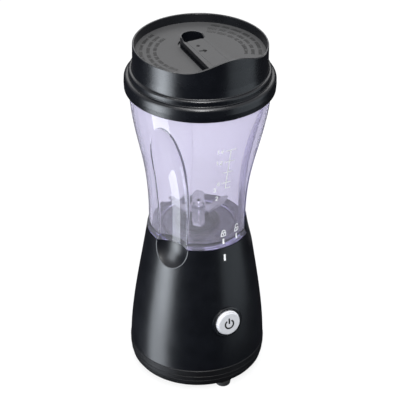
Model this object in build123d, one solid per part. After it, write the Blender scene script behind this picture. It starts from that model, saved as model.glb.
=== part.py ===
from build123d import *
import os
from math import cos, pi, radians, sin

# Personal countertop blender: a bell-shaped motor base, a clear hourglass jar that twists
# onto it, and a travel lid with a raised drinking lip and a sliding closure.
# Millimetres, +Z up, origin under the middle of the feet. The front (button side) faces -Y.

# ---- driving dimensions -------------------------------------------------------------
# Heights above the table
FOOT_HEIGHT = 4.0
BASE_SEAM = 20.5            # bottom cover meets housing
DECK = 121.0                # housing meets jar
BUTTON_HEIGHT = 60.5
JAR_MOUTH = 246.8
LID_EDGE = 237.5            # lower edge of the lid's skirt
LID_DISC = 264.9
LID_RIM = 271.7
LIP_HEIGHT = 9.0            # drinking lip above the rim

# Outlines as (radius, height) points
HOUSING_OUTLINE = [(51.2, BASE_SEAM), (49.5, 46.0), (46.4, 70.0), (42.6, 94.0), (38.4, DECK)]
JAR_OUTLINE = [(37.0, 125.5), (37.5, 148.0), (40.7, 176.0), (46.6, 204.0), (50.1, 226.0),
               (51.2, JAR_MOUTH)]

# Wall thicknesses and clearances
HOUSING_WALL = 2.4
JAR_WALL = 2.2
FIT = 0.05                  # running fits, on the radius
PRESS = 0.02                # pieces pressed together
PLAY = 0.3                  # moving faces that only pass each other

# Three vertical hollows, shared by the jar and the base
HOLLOW_ANGLES = (-30.0, 90.0, 210.0)      # about Z, from +X; the front is at -90
HOLLOW_RADIUS = 23.0
HOLLOW_AXIS = 54.6          # distance of the hollow's axis from Z where it is straight
HOLLOW_BALL_HEIGHT = 122.5  # centre of the ball that ends it in the base
HOLLOW_BEND_HEIGHT = 148.0  # above this the axis bends outwards
HOLLOW_BEND_RADIUS = 151.0
HOLLOW_BEND_ANGLE = 34.0
HOUSING_ROUNDING = 1.0      # radius along the hollows' edges
JAR_ROUNDING = 0.8
JAR_INNER_ROUNDING = 1.2

# Well in the base that takes the jar's spigot, with its twist lock
WELL_RADIUS = 29.0
WELL_FLOOR = 93.0
WELL_FLOOR_THICKNESS = 2.5
SPIGOT_RADIUS = 28.7
SPIGOT_WALL = 2.4
LUG_ANGLES = (-90.0, 30.0, 150.0)
LUG_SPAN = 22.0
LUG_HEIGHT = 5.0
LUG_DEPTH = 2.0
UNLOCK_TWIST = 19.0         # clockwise from above

# Motor
SHAFT_RADIUS = 3.0
STATOR_BOTTOM = 38.0
STATOR_HEIGHT = 24.0
STATOR_WIDTH = 52.0
STATOR_DEPTH = 44.0
AIR_GAP = 0.6
ARMATURE_RADIUS = 14.0
SLOT_COUNT = 12
UPPER_BRACKET = 81.0
LOWER_BRACKET = 12.0
BRACKET_THICKNESS = 2.5
BEARING_RADIUS = 6.5
BOLT_X = 21.5
BOLT_Y = 17.5
BOLT_RADIUS = 1.8
MOUNT_PITCH = 28.0
COMMUTATOR_RADIUS = 9.5
BRUSH_HEIGHT = 25.5

# Drive coupling between motor and blades
PRONG_COUNT = 4
PRONG_SPAN = 30.0
PRONG_LEAD = 21.5           # free angle between prongs, more than the jar's twist
COUPLING_BOTTOM = 98.0
COUPLING_RADIUS = 12.5

# Blade assembly in the jar floor
JAR_FLOOR = 124.2
HUB_RADIUS = 16.0
HUB_TUBE_RADIUS = 7.5
BLADE_THICKNESS = 1.4

# Button, in its own frame: z along its axis, 0 at the housing's face
BUTTON_RADIUS = 9.6
BUTTON_PROUD = 3.6
BUTTON_TILT = 7.0
BEZEL_RADIUS = 12.2
BRACKET_DROP = -12.5        # inner face of the switch bracket

# Lid
LID_WALL_RADIUS = 48.2
LID_WALL = 1.4
LIP_HALF_ANGLE = 45.0
SLIDER_WIDTH = 13.2
SLIDER_INNER = 9.0          # inner end behind the lid's middle
SLIDER_FRONT = 44.0
SLIDER_TRAVEL = 8.5
SLIDER_TOP = 269.9
TONGUE_INNER = 5.0          # inner end of the slider's side tongues
BLOCK_REAR = 8.7            # half widths of the raised block that carries the slider
BLOCK_FRONT = 11.2
POCKET_RADIUS = 7.8
POCKET_CENTRE = 12.5
POCKET_FLOOR = 261.5
SCOOP_TOP = 271.5           # thin wall round the back of the pocket
GUTTER_WIDTH = 1.6          # groove in the disc along the block's sides
GUTTER_DEPTH = 1.2

# Feet and fasteners
FOOT_RADIUS = 6.2
FOOT_PITCH = 43.4
FOOT_ANGLES = (-90.0, 30.0, 150.0)
COVER_SCREW_PITCH = 41.0
COVER_SCREW_ANGLES = (-50.0, 70.0, 190.0)
GLAND_HEIGHT = 32.0
CORD_RADIUS = 3.6

RISING = (Align.CENTER, Align.CENTER, Align.MIN)


# ---- helpers ------------------------------------------------------------------------
def post(radius, bottom, top, x=0.0, y=0.0):
    """An upright cylinder between two heights."""
    return Pos(x, y, bottom) * Cylinder(radius, top - bottom, align=RISING)


def ring(outer, inner, bottom, top, x=0.0, y=0.0):
    """An upright tube between two heights."""
    return post(outer, bottom, top, x, y) - post(inner, bottom, top, x, y)


def block(width, depth, bottom, top, x=0.0, y=0.0):
    """An upright box between two heights, centred on x and y."""
    return Pos(x, y, bottom) * Box(width, depth, top - bottom, align=RISING)


def turned(points, rounded=()):
    """A solid of revolution whose outline is straight between (radius, height) points.

    `rounded` lists corners as (radius, height, fillet radius).
    """
    face = make_face(Polyline(*points, close=True))
    for radius, height, rounding in rounded:
        corner = face.vertices().sort_by_distance((radius, height, 0))[0]
        face = fillet(corner, rounding)
    return revolve(Plane.XZ * face, Axis.Z)


def bell(points, inset=0.0, top=None, bottom=None):
    """A solid of revolution under a smooth outline, closed to the axis."""
    curve = Spline(*[(radius - inset, height) for radius, height in points])
    low = points[0][1]
    high = points[-1][1]
    closing = Polyline(curve @ 1, (0, high), (0, low), curve @ 0)
    solid = revolve(Plane.XZ * make_face(curve + closing), Axis.Z)
    if top is not None:
        solid -= post(80, top, high + 1)
    if bottom is not None:
        solid -= post(80, low - 1, bottom)
    return solid


def sector(outer, inner, bottom, top, span, angle=0.0):
    """A slice of an upright tube, `span` degrees wide, centred on `angle` about Z."""
    profile = Plane.XZ * make_face(Polyline((inner, bottom), (outer, bottom), (outer, top),
                                            (inner, top), close=True))
    return Rot(0, 0, angle - span / 2) * revolve(profile, Axis.Z, revolution_arc=span)


def around(piece, angles):
    """Copies of a piece drawn towards +X, turned about Z to each angle."""
    return [Rot(0, 0, angle) * piece for angle in angles]


def cut(body, tools):
    """A body with every tool taken away from it."""
    for tool in tools:
        body = body - tool
    return body


def join(body, extras):
    """A body with every extra piece added to it."""
    for extra in extras:
        body = body + extra
    return body


def screw(shank, head, length, head_height):
    """A pan-head screw pointing up, its head's underside at z = 0, with a cross recess."""
    body = post(shank, -0.01, length) + post(head, -head_height, 0)
    for angle in (0, 90):
        body -= Rot(0, 0, angle) * block(head * 1.1, 0.8, -head_height - 1, -head_height * 0.4)
    return body


def write(name, pieces):
    """Save one sub-part; a list of pieces becomes a group of separate solids."""
    if isinstance(pieces, list):
        pieces = Compound([solid for piece in pieces for solid in piece.solids()])
    export_step(pieces, os.path.join("parts", name + ".step"))


# ---- the hollows --------------------------------------------------------------------
def hollow_balls(extra=0.0):
    """Ball ends that scoop the hollows' rounded bottoms out of the base."""
    ball = Pos(HOLLOW_AXIS, 0, HOLLOW_BALL_HEIGHT) * Sphere(HOLLOW_RADIUS + extra)
    return around(ball, HOLLOW_ANGLES)


def hollow_tubes(extra=0.0):
    """Upright tubes that bend outwards, so each hollow ends in an arch on the jar."""
    radius = HOLLOW_RADIUS + extra
    straight = post(radius, DECK - 1, HOLLOW_BEND_HEIGHT, HOLLOW_AXIS)
    hinge = Axis((HOLLOW_AXIS + HOLLOW_BEND_RADIUS, 0, HOLLOW_BEND_HEIGHT), (0, 1, 0))
    section = Pos(HOLLOW_AXIS, 0, HOLLOW_BEND_HEIGHT) * Circle(radius)
    bend = revolve(section, hinge, revolution_arc=HOLLOW_BEND_ANGLE)
    return around(straight + bend, HOLLOW_ANGLES)


def hollow_edges(body):
    """The edges of a scooped solid of revolution, without its level circles and its seam."""
    found = []
    for edge in body.edges():
        middle = edge @ 0.5
        on_seam = abs(middle.Y) < 0.01 and middle.X > 0
        if edge.geom_type != GeomType.CIRCLE and not on_seam:
            found.append(edge)
    return found


# ---- base ---------------------------------------------------------------------------
def button_place():
    """Where the button's frame sits: square to the sloping front of the housing."""
    radius = 47.9
    outward = (0, -cos(radians(BUTTON_TILT)), sin(radians(BUTTON_TILT)))
    return Location(Plane((0, -radius, BUTTON_HEIGHT), x_dir=(1, 0, 0), z_dir=outward))


def base_housing():
    """Bell-shaped shell, moulded in one with the deck, the jar's well and screw posts."""
    outside = cut(bell(HOUSING_OUTLINE), hollow_balls())
    outside = fillet(hollow_edges(outside), HOUSING_ROUNDING)
    under_deck = DECK - 2.5
    cavity = cut(bell(HOUSING_OUTLINE, HOUSING_WALL, top=under_deck), hollow_balls(HOUSING_WALL))
    well_outside = post(WELL_RADIUS + 4.4, WELL_FLOOR - WELL_FLOOR_THICKNESS, DECK)
    mount_posts = around(post(4.4, 86.5, 92, MOUNT_PITCH), (0, 90, 180, 270))
    cover_posts = around(post(3.6, BASE_SEAM, 60, COVER_SCREW_PITCH), COVER_SCREW_ANGLES)
    switch_posts = [button_place() * post(3.2, BRACKET_DROP + 2.0, 0, side * 14.5)
                    for side in (-1, 1)]
    webs = around(block(9, 1.6, BASE_SEAM + 4, 60, COVER_SCREW_PITCH + 5), COVER_SCREW_ANGLES)
    cavity = cut(cavity, [well_outside] + mount_posts + cover_posts + webs + switch_posts)
    housing = outside - cavity

    housing -= post(WELL_RADIUS, WELL_FLOOR, DECK + 1)
    pocket_span = LUG_SPAN + UNLOCK_TWIST + 2.0
    for angle in LUG_ANGLES:
        centre = angle - UNLOCK_TWIST / 2
        housing -= sector(WELL_RADIUS + LUG_DEPTH + PLAY, WELL_RADIUS - 1, 97.5, DECK + 1,
                          pocket_span, centre)
    housing -= post(6.6, 80, WELL_FLOOR + 1)
    housing -= button_place() * post(11.2, -8, 8)
    for side in (-1, 1):
        housing -= button_place() * post(1.3, BRACKET_DROP + 1, -6.5, side * 14.5)
    housing = cut(housing, around(post(1.5, 80, 90.2, MOUNT_PITCH), (0, 90, 180, 270)))
    housing = cut(housing, around(post(1.5, 15, 33, COVER_SCREW_PITCH), COVER_SCREW_ANGLES))
    housing -= Pos(0, 50, GLAND_HEIGHT) * Rot(90, 0, 0) * Cylinder(5.6, 20)
    return housing


def bottom_cover():
    """Stepped lower band with a vented floor, screwed up into the housing."""
    outline = [(0, FOOT_HEIGHT), (46.8, FOOT_HEIGHT), (48.2, 4.8), (49.4, 7.0), (49.9, 7.3),
               (50.6, 10.4), (50.2, 10.8), (50.9, 11.2), (51.2, 14.5), (50.8, 14.9),
               (51.4, 15.3), (51.5, 20.0), (51.1, BASE_SEAM - 0.1), (48.2, BASE_SEAM - 0.1),
               (47.7, 7.2), (47.2, 6.5), (0, 6.5)]
    cover = turned(outline)
    cover += ring(48.2, 47.0, 10, BASE_SEAM + 3.0)
    cover = join(cover, around(post(4.4, 5, BASE_SEAM - 0.1, COVER_SCREW_PITCH),
                               COVER_SCREW_ANGLES))
    cover = cut(cover, around(post(3.4, 3, 16.5, COVER_SCREW_PITCH), COVER_SCREW_ANGLES))
    cover = cut(cover, around(post(1.8, 3, 22, COVER_SCREW_PITCH), COVER_SCREW_ANGLES))
    cover = cut(cover, around(post(3.0, 3, 8, FOOT_PITCH), FOOT_ANGLES))
    for step in range(-3, 4):
        half_length = 14.0 - abs(step) * 1.5
        cover -= block(2 * half_length, 2.6, 3, 8, 0, step * 5.5)
    return cover


def feet():
    """Three soft feet, each pulled through the cover by a barbed stem."""
    pad = turned([(0, 0), (FOOT_RADIUS - 1.2, 0), (FOOT_RADIUS - 0.7, 0.5),
                  (FOOT_RADIUS, FOOT_HEIGHT - 0.02), (0, FOOT_HEIGHT - 0.02)])
    stem = post(2.9, 3.9, 6.6)
    barb = turned([(0, 6.55), (3.6, 6.55), (2.4, 9.0), (0, 9.0)])
    foot = Pos(FOOT_PITCH, 0, 0) * (pad + stem + barb)
    return around(foot, FOOT_ANGLES)


def cover_screws():
    place = Pos(COVER_SCREW_PITCH, 0, 16.5)
    return around(place * screw(1.45, 3.1, 15.5, 2.2), COVER_SCREW_ANGLES)


def cord_gland():
    """Rubber bush in the rear wall where the mains cord would enter."""
    outline = [(CORD_RADIUS, -5.1), (6.8, -5.1), (6.8, -3.8), (5.5, -3.8), (5.5, 0.7),
               (7.0, 0.7), (6.6, 2.6), (CORD_RADIUS, 2.6)]
    bush = turned(outline)
    wall_radius = 50.7
    return Pos(0, wall_radius, GLAND_HEIGHT) * Rot(-90, 0, 0) * bush


# ---- button and switch --------------------------------------------------------------
def button_bezel():
    """Ring that lines the button's hole."""
    outline = [(BUTTON_RADIUS + PLAY, -4.2), (11.1, -4.2), (11.1, -0.9), (BEZEL_RADIUS, -0.9),
               (BEZEL_RADIUS, 0.5), (BEZEL_RADIUS - 0.7, 1.0), (BUTTON_RADIUS + 0.9, 1.0),
               (BUTTON_RADIUS + PLAY, 0.3)]
    bezel = turned(outline)
    wall = Pos(0, 0, BUTTON_HEIGHT) * bell([(radius + 0.02, height - BUTTON_HEIGHT)
                                            for radius, height in HOUSING_OUTLINE])
    return button_place() * bezel - (wall - button_place() * post(11.15, -9, 9))


def power_button():
    """Thick stepped puck with a stop flange and a stem behind it."""
    outline = [(0, BUTTON_PROUD), (BUTTON_RADIUS - 1.4, BUTTON_PROUD),
               (BUTTON_RADIUS - 0.7, BUTTON_PROUD - 0.4), (BUTTON_RADIUS - 0.6, 1.8),
               (BUTTON_RADIUS, 1.4), (BUTTON_RADIUS, -4.4), (10.8, -4.4), (10.8, -6.0),
               (2.5, -6.0), (2.5, -10.3), (0, -10.3)]
    return button_place() * turned(outline)


def button_spring():
    """Return spring round the button's stem, with room between its turns to close."""
    wire = 0.25
    coil_radius = 4.6
    height = 4.1
    turns = 2.5
    start = -10.3 + wire
    rise = height - 2 * wire
    path = Helix(pitch=rise / turns, height=rise, radius=coil_radius)
    section = Plane(path @ 0, z_dir=path % 0) * Circle(wire)
    return button_place() * Pos(0, 0, start) * sweep(section, path=path)


def switch_bracket():
    """Plate on two posts that carries the switch and guides the stem."""
    plate = block(37, 15, BRACKET_DROP, BRACKET_DROP + 1.9)
    plate -= post(2.8, BRACKET_DROP - 1, BRACKET_DROP + 3)
    for side in (-1, 1):
        plate -= post(1.5, BRACKET_DROP - 1, BRACKET_DROP + 3, side * 14.5)
    return button_place() * plate


def switch_screws():
    return [button_place() * Pos(side * 14.5, 0, BRACKET_DROP - 0.02) * screw(1.25, 2.6, 5.5, 1.6)
            for side in (-1, 1)]


def switch_body():
    """Momentary switch: a small moulded box with a bore for its plunger."""
    top = BRACKET_DROP - 0.05
    case = block(18, 13, top - 10, top)
    case = fillet(case.edges().filter_by(Axis.Z), 1.2)
    case -= post(1.65, top - 5.5, top + 1)
    return button_place() * case


def switch_plunger():
    return button_place() * post(1.6, -15.5, -10.35)


def switch_terminals():
    """Two flat tabs under the switch."""
    depth = BRACKET_DROP - 5.5
    return [button_place() * Pos(side * 4.5, -9.1, depth) * Box(4.8, 5.1, 0.8)
            for side in (-1, 1)]


# ---- motor, fixed pieces ------------------------------------------------------------
def bolt_points():
    return [(BOLT_X, BOLT_Y), (-BOLT_X, -BOLT_Y)]


def coil_frame(gap=0.0):
    """One field coil wound round the pole on the -Y side, grown by `gap` for its slot."""
    top = STATOR_BOTTOM + STATOR_HEIGHT
    outer = block(37 + 2 * gap, 5.6 + 2 * gap, STATOR_BOTTOM - 6, top + 6, 0, -15.3)
    outer = fillet(outer.edges().filter_by(Axis.Y), 4)
    inner = block(25.6 - 2 * gap, 8, STATOR_BOTTOM - 0.4, top + 0.4, 0, -15.3)
    return outer - inner


def stator_core():
    """Laminated field frame with two poles."""
    top = STATOR_BOTTOM + STATOR_HEIGHT
    core = block(STATOR_WIDTH, STATOR_DEPTH, STATOR_BOTTOM, top)
    core = fillet(core.edges().filter_by(Axis.Z), 6)
    core -= post(ARMATURE_RADIUS + AIR_GAP, STATOR_BOTTOM - 1, top + 1)
    for angle in (0, 180):
        core -= Rot(0, 0, angle) * coil_frame(0.15)
    for x, y in bolt_points():
        core -= post(BOLT_RADIUS + FIT, STATOR_BOTTOM - 1, top + 1, x, y)
    return core


def field_coils():
    return [Rot(0, 0, angle) * coil_frame() for angle in (0, 180)]


def motor_bracket(boss_bottom, boss_top, plate_bottom, bearing_bottom, bearing_top):
    """Round motor end plate with cooling windows and a bearing boss."""
    plate_top = plate_bottom + BRACKET_THICKNESS
    plate = post(32, plate_bottom, plate_top) + post(9, boss_bottom, boss_top)
    plate = cut(plate, around(post(5.2, plate_bottom - 1, plate_top + 1, 19),
                              (0, 90, 180, 270)))
    plate -= post(BEARING_RADIUS, bearing_bottom, bearing_top)
    plate -= post(SHAFT_RADIUS + 1, plate_bottom - 10, plate_top + 10)
    for x, y in bolt_points():
        plate -= post(BOLT_RADIUS + FIT, plate_bottom - 1, plate_top + 1, x, y)
    return plate


def upper_bracket():
    bracket = motor_bracket(76.5, 82, UPPER_BRACKET, 76.4, 81.5)
    return cut(bracket, around(post(1.7, 80, 85, MOUNT_PITCH), (0, 90, 180, 270)))


def lower_bracket():
    return motor_bracket(13, 18.5, LOWER_BRACKET, 13.5, 18.6)


def spacers():
    """Tubes on the through-bolts between the field frame and each end plate."""
    top = STATOR_BOTTOM + STATOR_HEIGHT
    tubes = []
    for x, y in bolt_points():
        low = LOWER_BRACKET + BRACKET_THICKNESS + PRESS
        tubes.append(ring(2.8, BOLT_RADIUS + FIT, low, STATOR_BOTTOM - PRESS, x, y))
        tubes.append(ring(2.8, BOLT_RADIUS + FIT, top + PRESS, UPPER_BRACKET - PRESS, x, y))
    return tubes


def motor_bolts():
    length = UPPER_BRACKET + BRACKET_THICKNESS + 1.5 - LOWER_BRACKET
    bolts = []
    for x, y in bolt_points():
        bolts.append(Pos(x, y, LOWER_BRACKET - PRESS) * screw(BOLT_RADIUS, 3.4, length, 2.2))
    return bolts


def bearing(bottom, top):
    """Sintered bush bearing."""
    return ring(BEARING_RADIUS - PRESS, SHAFT_RADIUS + FIT, bottom, top)


def brush_holders():
    """Moulded boxes on the lower end plate, either side of the commutator."""
    bottom = LOWER_BRACKET + BRACKET_THICKNESS + PRESS
    box = block(11.5, 9, bottom, 30, 17.6)
    box -= Pos(17.6, 0, BRUSH_HEIGHT) * Box(14, 6.1, 5.1)
    return around(box, (0, 180))


def carbon_brushes():
    brush = Pos(13.9, 0, BRUSH_HEIGHT) * Box(8.4, 6, 5)
    return around(brush, (0, 180))


def brush_springs():
    wire = 0.3
    path = Helix(pitch=1.1, height=4.4, radius=1.9)
    spring = sweep(Plane(path @ 0, z_dir=path % 0) * Circle(wire), path=path)
    placed = Pos(18.5, 0, BRUSH_HEIGHT) * Rot(0, 90, 0) * spring
    return around(placed, (0, 180))


def brush_caps():
    cap = block(1.4, 8.4, BRUSH_HEIGHT - 4, BRUSH_HEIGHT + 4, 24.1)
    cap += block(2.4, 3, BRUSH_HEIGHT - 1, BRUSH_HEIGHT + 1, 26.0)
    return around(cap, (0, 180))


def lead_wires():
    """Two insulated leads inside the base, from the switch tabs to the brush caps."""
    wires = []
    for side in (-1, 1):
        route = Spline((side * 4.5, -28.3, 44.5), (side * 14, -29.5, 35), (side * 28, -18, 27.5),
                       (side * 29.0, -3.6, BRUSH_HEIGHT))
        wires.append(sweep(Plane(route @ 0, z_dir=route % 0) * Circle(1.0), path=route))
    return wires


def motor_grommets():
    """Soft rubber washers that the motor hangs on."""
    washer = ring(4.2, 1.7, UPPER_BRACKET + BRACKET_THICKNESS + PRESS, 86.5 - PRESS, MOUNT_PITCH)
    return around(washer, (0, 90, 180, 270))


def mount_screws():
    place = Pos(MOUNT_PITCH, 0, UPPER_BRACKET - PRESS)
    return around(place * screw(1.45, 3.0, 8.8, 2.0), (0, 90, 180, 270))


def drip_seal():
    """Lipped seal where the motor shaft comes up through the well's floor."""
    outline = [(SHAFT_RADIUS + FIT, 90.5), (6.55, 90.5), (6.55, WELL_FLOOR), (7.6, WELL_FLOOR + PRESS),
               (7.6, 94.2), (5.2, 96.6), (SHAFT_RADIUS + FIT, 96.6)]
    return turned(outline)


# ---- motor, turning pieces ----------------------------------------------------------
def motor_shaft():
    shaft = post(SHAFT_RADIUS, 11, 106)
    return chamfer(shaft.edges().filter_by(GeomType.CIRCLE), 0.5)


def winding_bars(gap=0.0):
    """Wire bundles that lie in the armature's slots."""
    width = 2.6 + 2 * gap
    overhang = 0.3
    bar = block(5.2 + 2 * gap, width, STATOR_BOTTOM - overhang,
                STATOR_BOTTOM + STATOR_HEIGHT + overhang, 10.6)
    return around(bar, [index * 360 / SLOT_COUNT for index in range(SLOT_COUNT)])


def armature_core():
    """Slotted lamination stack."""
    top = STATOR_BOTTOM + STATOR_HEIGHT
    core = ring(ARMATURE_RADIUS, SHAFT_RADIUS + PRESS, STATOR_BOTTOM, top)
    core = cut(core, winding_bars(0.05))
    slit = block(3, 1.2, STATOR_BOTTOM - 1, top + 1, ARMATURE_RADIUS)
    return cut(core, around(slit, [index * 360 / SLOT_COUNT for index in range(SLOT_COUNT)]))


def armature_windings():
    """Slot bundles joined by a rounded end turn above and below the stack."""
    top = STATOR_BOTTOM + STATOR_HEIGHT
    ends = []
    for low, high in ((STATOR_BOTTOM - 5.5, STATOR_BOTTOM - 0.1), (top + 0.1, top + 5.5)):
        end = ring(12.0, SHAFT_RADIUS + 1.5, low, high)
        ends.append(fillet(end.edges().filter_by(GeomType.CIRCLE).sort_by(SortBy.RADIUS)[-2:], 1.6))
    return join(ends[0] + ends[1], winding_bars())


def commutator():
    """Copper segments round a hub, with a groove between each pair."""
    drum = ring(COMMUTATOR_RADIUS, SHAFT_RADIUS + PRESS, 20.5, 31.0)
    groove = block(1.6, 0.5, 20, 30.0, COMMUTATOR_RADIUS)
    return cut(drum, around(groove, [15 + index * 30 for index in range(12)]))


def cooling_fan():
    """Radial fan: a disc with curved blades on its underside."""
    fan = ring(24, SHAFT_RADIUS + PRESS, 74.2, 75.4) + ring(6.5, SHAFT_RADIUS + PRESS, 69.5, 75.4)
    blade = Rot(0, 0, 12) * block(15, 1.2, 69.8, 74.4, 15.5)
    return join(fan, around(blade, [index * 40 for index in range(9)]))


def coupling_prongs(bottom, top, shift):
    outer = COUPLING_RADIUS - 0.3
    return [sector(outer, 6.2, bottom, top, PRONG_SPAN, shift + index * 360 / PRONG_COUNT)
            for index in range(PRONG_COUNT)]


def drive_coupling():
    """Moulded half-coupling on the motor shaft, prongs up."""
    hub = ring(COUPLING_RADIUS, SHAFT_RADIUS + PRESS, COUPLING_BOTTOM, COUPLING_BOTTOM + 3)
    hub += ring(5.6, SHAFT_RADIUS + PRESS, COUPLING_BOTTOM, COUPLING_BOTTOM + 7)
    return join(hub, coupling_prongs(COUPLING_BOTTOM + 2.9, COUPLING_BOTTOM + 9, 0))


# ---- jar seat -----------------------------------------------------------------------
def jar_seat_ring():
    """Rubber ring in the well that the jar's spigot stands on."""
    return ring(WELL_RADIUS - PLAY, 24.6, WELL_FLOOR + 0.1, WELL_FLOOR + 2.4)


# ---- jar and blade assembly ---------------------------------------------------------
def jar():
    """Clear hourglass jar with three hollows, an open mouth and a spigot with lock lugs."""
    foot = turned([(0, DECK + 0.15), (37.9, DECK + 0.15), (38.1, DECK + 0.4), (38.1, DECK + 1.6),
                   (JAR_OUTLINE[0][0], 125.5), (0, 125.5)])
    outside = cut(bell(JAR_OUTLINE) + foot, hollow_tubes())
    outside = fillet(hollow_edges(outside), JAR_ROUNDING)
    inside = cut(bell(JAR_OUTLINE, JAR_WALL), hollow_tubes(JAR_WALL))
    inside = fillet(hollow_edges(inside), JAR_INNER_ROUNDING)
    inside += Pos(0, 0, 0.01) * post(27.0, JAR_FLOOR, 127)
    vessel = outside - inside
    spigot = ring(SPIGOT_RADIUS, SPIGOT_RADIUS - SPIGOT_WALL, WELL_FLOOR + 2.5, DECK + 1)
    vessel += spigot
    for angle in LUG_ANGLES:
        vessel += sector(WELL_RADIUS + LUG_DEPTH, SPIGOT_RADIUS - 1, 98.0, 98.0 + LUG_HEIGHT,
                         LUG_SPAN, angle)
    vessel -= post(HUB_TUBE_RADIUS + FIT, DECK - 1, JAR_FLOOR + 1)
    return vessel


def hub_housing():
    """Flanged bearing hub, pulled down onto the jar's floor by the nut below it."""
    outline = [(5.0, 113.0), (HUB_TUBE_RADIUS, 113.0), (HUB_TUBE_RADIUS, JAR_FLOOR + 0.9),
               (HUB_RADIUS, JAR_FLOOR + 0.9), (HUB_RADIUS, JAR_FLOOR + 2.4),
               (HUB_RADIUS - 1.2, JAR_FLOOR + 3.4), (9.0, JAR_FLOOR + 4.2), (8.2, 132.0),
               (5.0, 132.0)]
    return turned(outline)


def hub_gasket():
    return ring(HUB_RADIUS - 0.5, HUB_TUBE_RADIUS + FIT, JAR_FLOOR + 0.05, JAR_FLOOR + 0.85)


def hub_nut():
    """Hexagonal nut under the jar's floor."""
    flat = DECK + 0.1
    nut = Pos(0, 0, 116.2) * extrude(RegularPolygon(13.5, 6), flat - 116.2)
    return nut - post(HUB_TUBE_RADIUS + FIT, 115, flat + 1)


def hub_bushes():
    """Two sintered bushes that carry the blade shaft."""
    return [ring(5.0 - PRESS, SHAFT_RADIUS + FIT, low, low + 6.0) for low in (113.2, 122.5)]


def blade_seal():
    """Shaft seal in the top of the hub."""
    return ring(5.0 - PRESS, SHAFT_RADIUS + FIT, 128.8, 131.8)


def blade_shaft():
    shaft = post(SHAFT_RADIUS, 106.6, 138.4)
    return chamfer(shaft.edges().filter_by(GeomType.CIRCLE), 0.4)


def blade(bottom, rise, reach):
    """Two ground wings bent from a flat hub; `rise` is the bend's angle, up or down."""
    hub = post(6.4, bottom, bottom + BLADE_THICKNESS)
    arm = Pos(0, 0, bottom) * extrude(Polygon((-9, -4.6), (9, -4.6), (9, 4.6), (-9, 4.6),
                                              align=None), BLADE_THICKNESS)
    outline = Polygon((0, -4.6), (reach - 12, -4.0), (reach - 8.5, 1.6), (reach - 14, 4.6),
                      (0, 4.6), align=None)
    wing = Pos(8.6, 0, bottom) * Rot(0, -rise, 0) * extrude(outline, BLADE_THICKNESS)
    bevel_angle = 14.0
    bevel = Pos(8.6, 0, bottom) * Rot(0, -rise, 0) * Pos(reach / 2 - 3, -4.9, 1.1)
    bevel = bevel * Rot(bevel_angle, 0, 0) * Box(reach + 2, 3.2, 1.2)
    wing -= bevel
    body = join(hub + arm, around(wing, (0, 180)))
    return body - post(SHAFT_RADIUS + PRESS, bottom - 5, bottom + 5)


def lower_blade():
    return Rot(0, 0, 62) * blade(132.5, 7, 25.4)


def upper_blade():
    return Rot(0, 0, -28) * blade(134.1, 38, 25.4)


def blade_washer():
    return ring(5.4, SHAFT_RADIUS + PRESS, 135.52, 136.4)


def blade_nut():
    """Domed nut that clamps the blades on the shaft."""
    nut = Pos(0, 0, 136.42) * extrude(RegularPolygon(5.8, 6), 3.0)
    dome = Pos(0, 0, 139.4) * Sphere(4.4)
    nut += dome - block(12, 12, 130, 139.4)
    return nut - post(SHAFT_RADIUS + PRESS, 136, 138.6)


def driven_coupling():
    """Moulded half-coupling under the jar, prongs down."""
    top = 112.6
    hub = ring(COUPLING_RADIUS, SHAFT_RADIUS + PRESS, top - 3, top)
    prongs = coupling_prongs(COUPLING_BOTTOM + 4, top - 2.9, PRONG_SPAN + PRONG_LEAD)
    return join(hub, prongs)


# ---- lid ----------------------------------------------------------------------------
def lip_wall():
    """The rim's raised drinking lip: a hump in the wall, smooth at both ends."""
    half = LID_WALL_RADIUS * sin(radians(LIP_HALF_ANGLE))
    steps = 8
    crest = []
    for step in range(steps + 1):
        along = -1 + 2 * step / steps
        crest.append((along * half, LID_RIM + LIP_HEIGHT * (1 + cos(pi * along)) / 2))
    outline = Spline(*crest) + Polyline((half, LID_RIM), (half, LID_RIM - 3),
                                        (-half, LID_RIM - 3), (-half, LID_RIM))
    curtain = extrude(Plane.XZ * make_face(outline), 60)
    wall = ring(LID_WALL_RADIUS, LID_WALL_RADIUS - LID_WALL, LID_RIM - 3, LID_RIM + 12)
    return wall & curtain


def block_shape(bottom, top, extra=0.0):
    """Raised block from the front wall to a half-round end, widening towards the lip."""
    front = LID_WALL_RADIUS - 0.7
    rear_half = BLOCK_REAR + extra
    front_half = BLOCK_FRONT + extra
    outline = Polyline((-rear_half, POCKET_CENTRE), (-front_half, -front),
                       (front_half, -front), (rear_half, POCKET_CENTRE), close=True)
    straight = Pos(0, 0, bottom) * extrude(make_face(outline), top - bottom)
    return straight + post(rear_half, bottom, top, 0, POCKET_CENTRE)


def scoop_wall():
    """The block's rounded end, raised in a slope behind the slider to catch a thumb."""
    slope = Polyline((SLIDER_INNER + 0.3, SLIDER_TOP), (POCKET_CENTRE + 1, SCOOP_TOP),
                     (POCKET_CENTRE + 12, SCOOP_TOP), (POCKET_CENTRE + 12, SLIDER_TOP - 1),
                     (SLIDER_INNER + 0.3, SLIDER_TOP - 1), close=True)
    ramp = extrude(Plane.YZ * make_face(slope), 20, both=True)
    return block_shape(SLIDER_TOP - 1, SCOOP_TOP) & ramp


def slider_blank(gap=0.0):
    """The slider's body with its side tongues, grown by `gap` all round."""
    half = SLIDER_WIDTH / 2 + gap
    length = SLIDER_INNER + SLIDER_FRONT
    centre = (SLIDER_INNER - SLIDER_FRONT) / 2
    body = block(2 * half, length + 2 * gap, 266.3 - gap, SLIDER_TOP + gap, 0, centre)
    body = fillet(body.edges().filter_by(Axis.Z).sort_by(Axis.Y)[-2:], 2.0)
    length = TONGUE_INNER + SLIDER_FRONT
    centre = (TONGUE_INNER - SLIDER_FRONT) / 2
    tongues = block(2 * half + 1.4, length + 2 * gap, 267.2 - gap, 268.2 + gap, 0, centre)
    return body + tongues


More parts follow.
